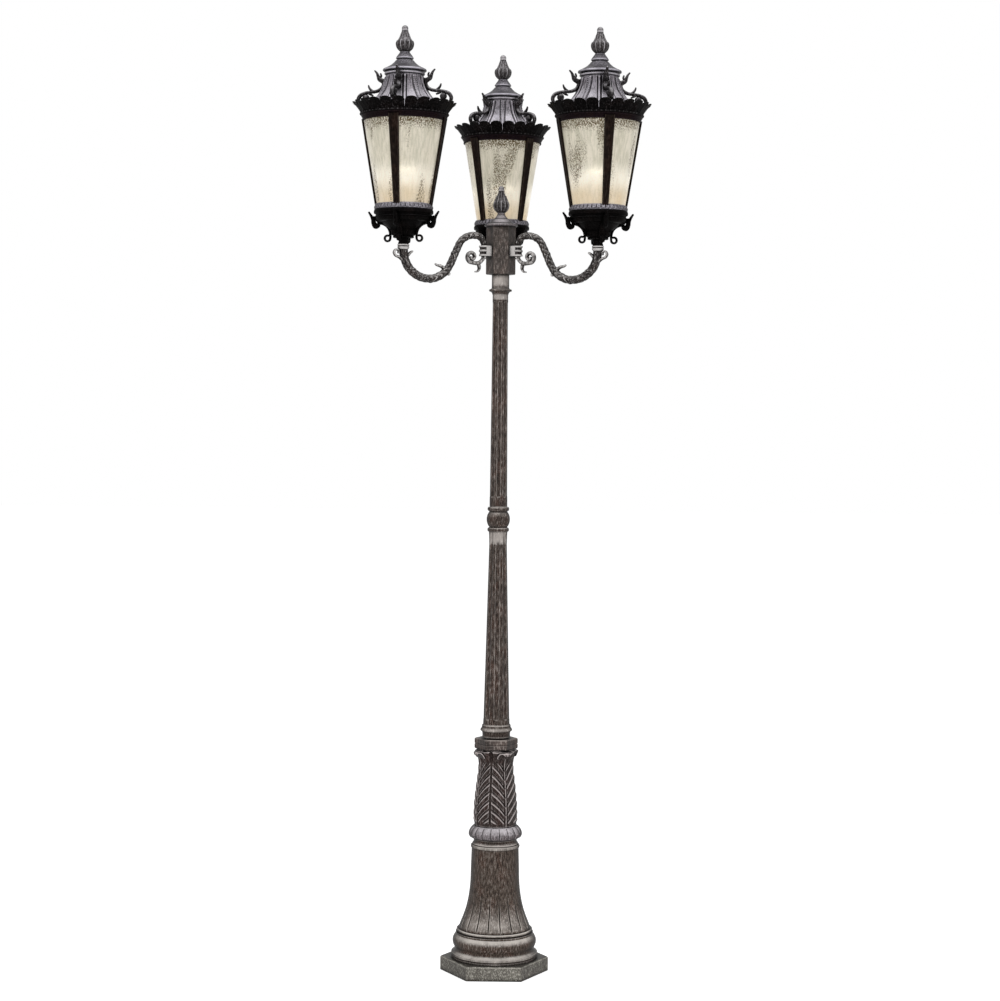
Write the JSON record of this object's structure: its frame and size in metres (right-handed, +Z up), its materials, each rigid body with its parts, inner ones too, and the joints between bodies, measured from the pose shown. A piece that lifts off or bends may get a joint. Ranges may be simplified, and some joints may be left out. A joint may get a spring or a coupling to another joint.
{
  "type": "lamp post",
  "caption": "Free-standing cast lamp post: hexagonal base, fluted bell and shaft, S-curved arms carrying lanterns with seeded glass, petal crowns and lift-off roofs.",
  "frame": {"origin": "centre of the base plate's under face, on the post axis at floor level", "axes": "+Z up along the post, -Y towards the front between the two forward lanterns, +X to the right"},
  "size_m": [0.7568, 0.6908, 2.4382],
  "materials": {
    "base_casting": "matte",
    "post_casting": "satin",
    "arm_casting": "satin",
    "lantern_casting": "satin",
    "roof_casting": "satin",
    "seeded_glass": "gloss",
    "bulb_glass": "gloss",
    "lampholder": "satin",
    "steel_hardware": "satin",
    "lead_insulation": "matte"
  },
  "bodies": {
    "root": {"base_plate": "base_casting", "base_bell": "post_casting", "base_urn": "post_casting", "lower_shaft": "post_casting", "mid_collar": "post_casting", "upper_shaft": "post_casting", "top_neck": "post_casting", "hub": "arm_casting", "core_pipe": "steel_hardware", "lock_nut": "steel_hardware", "arm_screws": "steel_hardware", "lead_connectors": "lead_insulation", "arm_left": "arm_casting", "arm_right": "arm_casting", "arm_rear": "arm_casting", "lead_left": "lead_insulation", "lead_right": "lead_insulation", "lead_rear": "lead_insulation", "cup_left": "lantern_casting", "cup_right": "lantern_casting", "cup_rear": "lantern_casting", "cup_brackets_left": "lantern_casting", "cup_brackets_right": "lantern_casting", "cup_brackets_rear": "lantern_casting", "frame_left": "lantern_casting", "frame_right": "lantern_casting", "frame_rear": "lantern_casting", "glass_left": "seeded_glass", "glass_right": "seeded_glass", "glass_rear": "seeded_glass", "bridge_left": "steel_hardware", "bridge_right": "steel_hardware", "bridge_rear": "steel_hardware", "nipple_left": "steel_hardware", "nipple_right": "steel_hardware", "nipple_rear": "steel_hardware", "socket_left": "lampholder", "socket_right": "lampholder", "socket_rear": "lampholder"},
    "hub_cover": {"hub_cap": "arm_casting"},
    "hub_knob": {"hub_finial": "arm_casting"},
    "lantern_roof_left": {"crown_left": "lantern_casting", "roof_left": "roof_casting", "vent_cap_left": "roof_casting", "roof_scrolls_left": "roof_casting"},
    "lantern_roof_right": {"crown_right": "lantern_casting", "roof_right": "roof_casting", "vent_cap_right": "roof_casting", "roof_scrolls_right": "roof_casting"},
    "lantern_roof_rear": {"crown_rear": "lantern_casting", "roof_rear": "roof_casting", "vent_cap_rear": "roof_casting", "roof_scrolls_rear": "roof_casting"},
    "finial_knob_left": {"finial_left": "lantern_casting"},
    "finial_knob_right": {"finial_right": "lantern_casting"},
    "finial_knob_rear": {"finial_rear": "lantern_casting"},
    "lamp_left": {"bulb_left": "bulb_glass"},
    "lamp_right": {"bulb_right": "bulb_glass"},
    "lamp_rear": {"bulb_rear": "bulb_glass"}
  },
  "joints": [
    {"name": "roof_lift_left", "type": "slide", "parent": "root", "child": "lantern_roof_left", "axis": [0, 0, 1], "range_m": [0, 0.2]},
    {"name": "finial_spin_left", "type": "hinge", "parent": "lantern_roof_left", "child": "finial_knob_left", "pos_m": [-0.24638, -0.14225, 2.371], "axis": [0, 0, 1], "continuous": true},
    {"name": "bulb_spin_left", "type": "hinge", "parent": "root", "child": "lamp_left", "pos_m": [-0.24638, -0.14225, 2], "axis": [0, 0, 1], "range_deg": [0, 720]},
    {"name": "roof_lift_right", "type": "slide", "parent": "root", "child": "lantern_roof_right", "axis": [0, 0, 1], "range_m": [0, 0.2]},
    {"name": "finial_spin_right", "type": "hinge", "parent": "lantern_roof_right", "child": "finial_knob_right", "pos_m": [0.24638, -0.14225, 2.371], "axis": [0, 0, 1], "continuous": true},
    {"name": "bulb_spin_right", "type": "hinge", "parent": "root", "child": "lamp_right", "pos_m": [0.24638, -0.14225, 2], "axis": [0, 0, 1], "range_deg": [0, 720]},
    {"name": "roof_lift_rear", "type": "slide", "parent": "root", "child": "lantern_roof_rear", "axis": [0, 0, 1], "range_m": [0, 0.2]},
    {"name": "finial_spin_rear", "type": "hinge", "parent": "lantern_roof_rear", "child": "finial_knob_rear", "pos_m": [0, 0.2845, 2.371], "axis": [0, 0, 1], "continuous": true},
    {"name": "bulb_spin_rear", "type": "hinge", "parent": "root", "child": "lamp_rear", "pos_m": [0, 0.2845, 2], "axis": [0, 0, 1], "range_deg": [0, 720]},
    {"name": "hub_cap_lift", "type": "slide", "parent": "root", "child": "hub_cover", "axis": [0, 0, 1], "range_m": [0, 0.08]},
    {"name": "hub_finial_spin", "type": "hinge", "parent": "hub_cover", "child": "hub_knob", "pos_m": [0, 0, 1.982], "axis": [0, 0, 1], "continuous": true}
  ]
}
